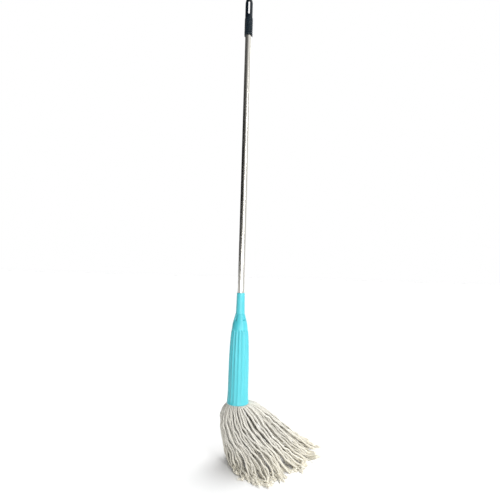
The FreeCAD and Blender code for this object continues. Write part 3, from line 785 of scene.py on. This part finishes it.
def smooth_lines(lines, samples):
    """More points along each strand, on smooth curves."""
    count = lines.shape[1]
    at = np.linspace(0, count - 1, samples)
    k = np.clip(at.astype(int), 0, count - 2)
    t = (at - k)[None, :, None]
    before = lines[:, np.maximum(k - 1, 0)]
    here = lines[:, k]
    ahead = lines[:, k + 1]
    after = lines[:, np.minimum(k + 2, count - 1)]
    return 0.5 * (
        2 * here
        + (ahead - before) * t
        + (2 * before - 5 * here + 4 * ahead - after) * t**2
        + (3 * here - before - 3 * ahead + after) * t**3
    )


def frames_along(lines):
    """Two directions across each line that turn as little as they can from one point to the next."""
    along = np.gradient(lines, axis=1)
    along /= np.linalg.norm(along, axis=2, keepdims=True)
    side = np.cross(along[:, 0], np.array([0.0, 0.0, 1.0]))
    weak = np.linalg.norm(side, axis=1) < 0.1
    side[weak] = np.cross(along[weak, 0], np.array([1.0, 0.0, 0.0]))
    sides = np.zeros_like(lines)
    for i in range(lines.shape[1]):
        side = side - along[:, i] * np.sum(side * along[:, i], axis=1, keepdims=True)
        side /= np.linalg.norm(side, axis=1, keepdims=True)
        sides[:, i] = side
    return sides, np.cross(along, sides)


def crimped(lines):
    """Lines with small irregular waves that grow below the rim and fade towards the tip."""
    waves = ((53 * MM, 1.2 * MM), (27 * MM, 0.45 * MM))
    count, rows, _ = lines.shape
    distance = np.linalg.norm(np.diff(lines, axis=1), axis=2).mean(axis=1)[:, None] * np.arange(rows)
    free = eased(RIM - lines[:, :, 2], 4 * MM, 40 * MM) * (1 - 0.5 * eased(np.arange(rows) / rows, 0.9, 1))
    for direction in frames_along(lines):
        for wave, height in waves:
            phase = random_numbers.random((count, 1)) * TURN
            stretch = random_numbers.uniform(0.8, 1.25, (count, 1))
            shift = np.sin(distance / wave * stretch * TURN + phase) * height * free
            lines = lines + direction * shift[..., None]
    return lines


def rings_along(lines, angle, reach, floor_gap):
    """Rings of points round lines, at angles and distances from them, all above the floor."""
    side, other = frames_along(lines)
    points = (
        lines[:, :, None, :]
        + side[:, :, None, :] * (np.cos(angle) * reach)[..., None]
        + other[:, :, None, :] * (np.sin(angle) * reach)[..., None]
    )
    points[..., 2] = np.maximum(points[..., 2], FLOOR + floor_gap)
    return points.reshape(-1, 3)


def tube_faces(count, rows, columns):
    """The faces of tubes with rings of points along them, all the same number."""
    first = np.arange(count) * rows * columns
    return (grid_faces(rows, columns)[None] + first[:, None, None]).reshape(-1, 4)


def end_faces(count, rows, columns):
    """Fans that close both ends of each tube. Their middle points come after all the tubes' points."""
    column = np.arange(columns)
    after = (column + 1) % columns
    fans = []
    for tube in range(count):
        middle = count * rows * columns + 2 * tube
        first = tube * rows * columns
        last = first + (rows - 1) * columns
        fans.append(np.stack([first + after, first + column, np.full(columns, middle)], axis=1))
        fans.append(np.stack([last + column, last + after, np.full(columns, middle + 1)], axis=1))
    return np.concatenate(fans)


def set_attributes(piece, **values):
    """Numbers on a piece's points, which its material reads."""
    for name, numbers in values.items():
        layer = piece.data.attributes.new(name, "FLOAT", "POINT")
        layer.data.foreach_set("value", np.asarray(numbers, dtype=np.float32))


def yarn_mesh(name, lines, radius, buried_shade):
    """Twisted yarn along lines: plies whose furrows follow the mesh, thicker and looser at the tip."""
    rows = 210
    columns = PLIES * PLY_COLUMNS
    lines = crimped(smooth_lines(lines, rows))
    radius = smooth_lines(radius[:, :, None], rows)[:, :, 0]
    count = len(lines)
    step = np.linalg.norm(np.diff(lines, axis=1), axis=2).mean(axis=1)
    distance = np.arange(rows)[None, :] * step[:, None]
    share = np.arange(rows) / (rows - 1)

    pitch = PLY_PITCH * (1 + 0.10 * random_numbers.normal(size=(count, 1)))
    twist = distance / pitch * TURN + random_numbers.random((count, 1)) * TURN
    loosened = eased(share, 0.93, 1.0)[None, :]
    rounded_off = 1 - eased(share, 0.985, 1.0) * 0.55
    uneven = 1 + 0.035 * np.sin(distance / (17 * MM) + random_numbers.random((count, 1)) * TURN)
    full = radius * uneven * (1 + 0.30 * loosened * rounded_off[None, :])

    crown = np.abs(np.sin(math.pi * (np.arange(columns) / PLY_COLUMNS)))
    # the furrows between plies, which the material also darkens as painted shade
    furrow = 1 - crown
    shape = 0.72 + 0.30 * crown**0.8
    deep = shape[None, None, :] * (1 - 0.12 * loosened[:, :, None] * furrow[None, None, :])
    angle = twist[:, :, None] + round_circle(columns)[None, None, :]
    points = rings_along(lines, angle, full[:, :, None] * deep, floor_gap=0.05 * MM)
    ends = np.stack([lines[:, 0], lines[:, -1]], axis=1).reshape(-1, 3)

    faces = tube_faces(count, rows, columns), end_faces(count, rows, columns)
    piece = build_mesh(name, np.concatenate([points, ends]), *faces)
    # half tone that differs at random, half painted shade on the strands buried further in
    tone = 0.5 * random_numbers.random(count) + 0.5 * buried_shade
    plain_ends = np.zeros(len(ends))
    set_attributes(
        piece,
        tone=np.concatenate([np.repeat(tone, rows * columns), plain_ends]),
        end=np.concatenate([np.tile(np.repeat(share, columns), count), plain_ends]),
        furrow=np.concatenate([np.tile(furrow, rows * count), plain_ends]),
    )
    return piece


def frays(name, lines, per_tip, length, spread, thickness, rows, columns):
    """What comes loose at the tips: curling lines that start inside a strand and spread past its end."""
    onward = lines[:, -1] - lines[:, -4]
    onward /= np.linalg.norm(onward, axis=1, keepdims=True)
    count = len(lines) * per_tip
    ends = np.repeat(lines[:, -1], per_tip, axis=0)
    onward = np.repeat(onward, per_tip, axis=0)
    reach = length * random_numbers.uniform(0.6, 1.3, (count, 1, 1))
    share = np.linspace(0, 1, rows)[None, :, None]
    aside = random_numbers.normal(0, 1, (count, 1, 3)) * [1, 1, 0.5]
    aside -= onward[:, None] * np.sum(aside * onward[:, None], axis=2, keepdims=True)
    curl = random_numbers.normal(0, 1, (count, 1, 3))
    path = ends[:, None] + onward[:, None] * reach * (share - 0.35)
    path = path + aside * spread * share**1.3
    path = path + curl * spread * 0.5 * np.sin(share * math.pi * 1.5) * share
    path[:, :, 2] = np.maximum(path[:, :, 2], FLOOR + thickness)
    thinner = 1 - 0.65 * eased(share[:, :, 0], 0.7, 1)
    radii = thickness * random_numbers.uniform(0.7, 1.2, (count, 1)) * thinner
    points = rings_along(path, round_circle(columns), radii[:, :, None], floor_gap=0.03 * MM)
    piece = build_mesh(name, points, tube_faces(count, rows, columns))
    plain = np.zeros(len(points))
    set_attributes(piece, tone=plain, end=plain + 1, furrow=plain)
    return piece


def make_yarn():
    """The whole head of yarn, in groups that stand for the CAD model's bundles."""
    guides, rings, angles = strand_guides()
    lines, radius = settle(guides, 45)
    quarter = ((angles + TURN / 8) // (TURN / 4)).astype(int) % 4
    outer = rings < OUTER_RINGS
    groups = {node: outer & (quarter == number) for number, node in enumerate(QUARTERS)}
    groups["yarn_core"] = ~outer
    for node, chosen in groups.items():
        strands, sizes = lines[chosen], radius[chosen]
        # painted shade: the inner rings of strands, buried in the head, are made darker
        buried_shade = np.clip(rings[chosen] / 2, 0, 1)
        shares = np.array_split(np.arange(len(strands)), math.ceil(len(strands) / PER_PIECE))
        pieces = [
            yarn_mesh(f"{node}_strands_{number}", strands[few], sizes[few], buried_shade[few])
            for number, few in enumerate(shares)
        ]
        pieces += [frays(f"{node}_{kind}", strands, **numbers) for kind, numbers in LOOSE_ENDS.items()]
        for piece in pieces:
            new_piece(piece, "handle", "cotton", node)
            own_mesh(piece)


make_yarn()


# ---------------------------------------------------------------- stage, light and camera


def make_floor():
    """A wide pale floor."""
    half = 14
    corners = [(-half, -half, FLOOR), (half, -half, FLOOR), (half, half, FLOOR), (-half, half, FLOOR)]
    floor = build_mesh("floor", corners, np.array([[0, 1, 2, 3]]))
    paint = Paint("floor", (0.95, 0.95, 0.95), 0.9, Specular_IOR_Level=0.1)
    floor.data.materials.append(paint.material)


def add_light(name, place, aim, width, height, power):
    """A soft rectangular light at a place, turned to a point."""
    light = bpy.data.lights.new(name, "AREA")
    light.shape = "RECTANGLE"
    light.size = width
    light.size_y = height
    light.energy = power
    lamp = add_object(name, light)
    lamp.location = place
    lamp.rotation_euler = (Vector(aim) - Vector(place)).to_track_quat("-Z", "Y").to_euler()


def make_world():
    """White for the camera, and soft light, stronger to the right and strongest above and behind."""
    above_and_behind = (0.15, 0.59, 0.79)
    world = bpy.data.worlds.new("studio")
    world.use_nodes = True
    nodes, links = world.node_tree.nodes, world.node_tree.links

    def share_of(value, *numbers):
        node = nodes.new("ShaderNodeMapRange")
        node.interpolation_type = "SMOOTHSTEP"
        set_range(node, *numbers)
        links.new(value, node.inputs["Value"])
        return node.outputs["Result"]

    def combined(operation, first, second):
        node = nodes.new("ShaderNodeMath")
        node.operation = operation
        links.new(first, node.inputs[0])
        links.new(second, node.inputs[1])
        return node.outputs["Value"]

    where = nodes.new("ShaderNodeTexCoord").outputs["Generated"]
    split = nodes.new("ShaderNodeSeparateXYZ")
    links.new(where, split.inputs["Vector"])
    overhead = nodes.new("ShaderNodeVectorMath")
    overhead.operation = "DOT_PRODUCT"
    overhead.inputs[1].default_value = above_and_behind
    links.new(where, overhead.inputs[0])
    to_the_right = share_of(split.outputs["X"], -0.58, 0.60, 0.01, 0.92)
    to_the_lamp = share_of(overhead.outputs["Value"], 0.70, 0.95, 1.0, 4.7)
    from_the_sky = share_of(split.outputs["Z"], 0.25, 0.60, 0.0, 0.15)
    strength = combined("ADD", combined("MULTIPLY", to_the_right, to_the_lamp), from_the_sky)

    soft = nodes["Background"]
    links.new(strength, soft.inputs["Strength"])
    plain = nodes.new("ShaderNodeBackground")
    plain.inputs["Strength"].default_value = 1.0
    for background in (plain, soft):
        background.inputs["Color"].default_value = (1, 1, 1, 1)
    seen = nodes.new("ShaderNodeLightPath")
    either = nodes.new("ShaderNodeMixShader")
    links.new(seen.outputs["Is Camera Ray"], either.inputs["Fac"])
    links.new(soft.outputs["Background"], either.inputs[1])
    links.new(plain.outputs["Background"], either.inputs[2])
    links.new(either.outputs["Shader"], nodes["World Output"].inputs["Surface"])
    bpy.context.scene.world = world


def make_camera():
    """A camera before the mop, a little right of it and a little above the sleeve, tilted up and rolled."""
    lens_px, picture_px, sensor = 390, 500, 36
    right, before, above_sleeve = 23.2 * MM, 1149 * MM, 89.3 * MM
    tilt = math.radians(90 + 1.85)
    roll = math.radians(1.65)
    camera = bpy.data.cameras.new("camera")
    camera.lens = lens_px / picture_px * sensor
    camera.sensor_width = sensor
    camera.clip_end = 50
    holder = add_object("camera", camera)
    place = Matrix.Translation((right, -before, SLEEVE_TOP + above_sleeve))
    holder.matrix_world = place @ Matrix.Rotation(tilt, 4, "X") @ Matrix.Rotation(roll, 4, "Z")
    bpy.context.scene.camera = holder


make_floor()
make_world()
add_light("key", place=(1.42, -1.82, -0.3), aim=(0, 0, -0.7), width=0.30, height=1.8, power=24)
add_light("fill", place=(0.1, -2.4, -0.95), aim=(0, 0, -1.1), width=1.0, height=0.6, power=16)
make_camera()
bpy.context.scene.view_settings.view_transform = "Standard"
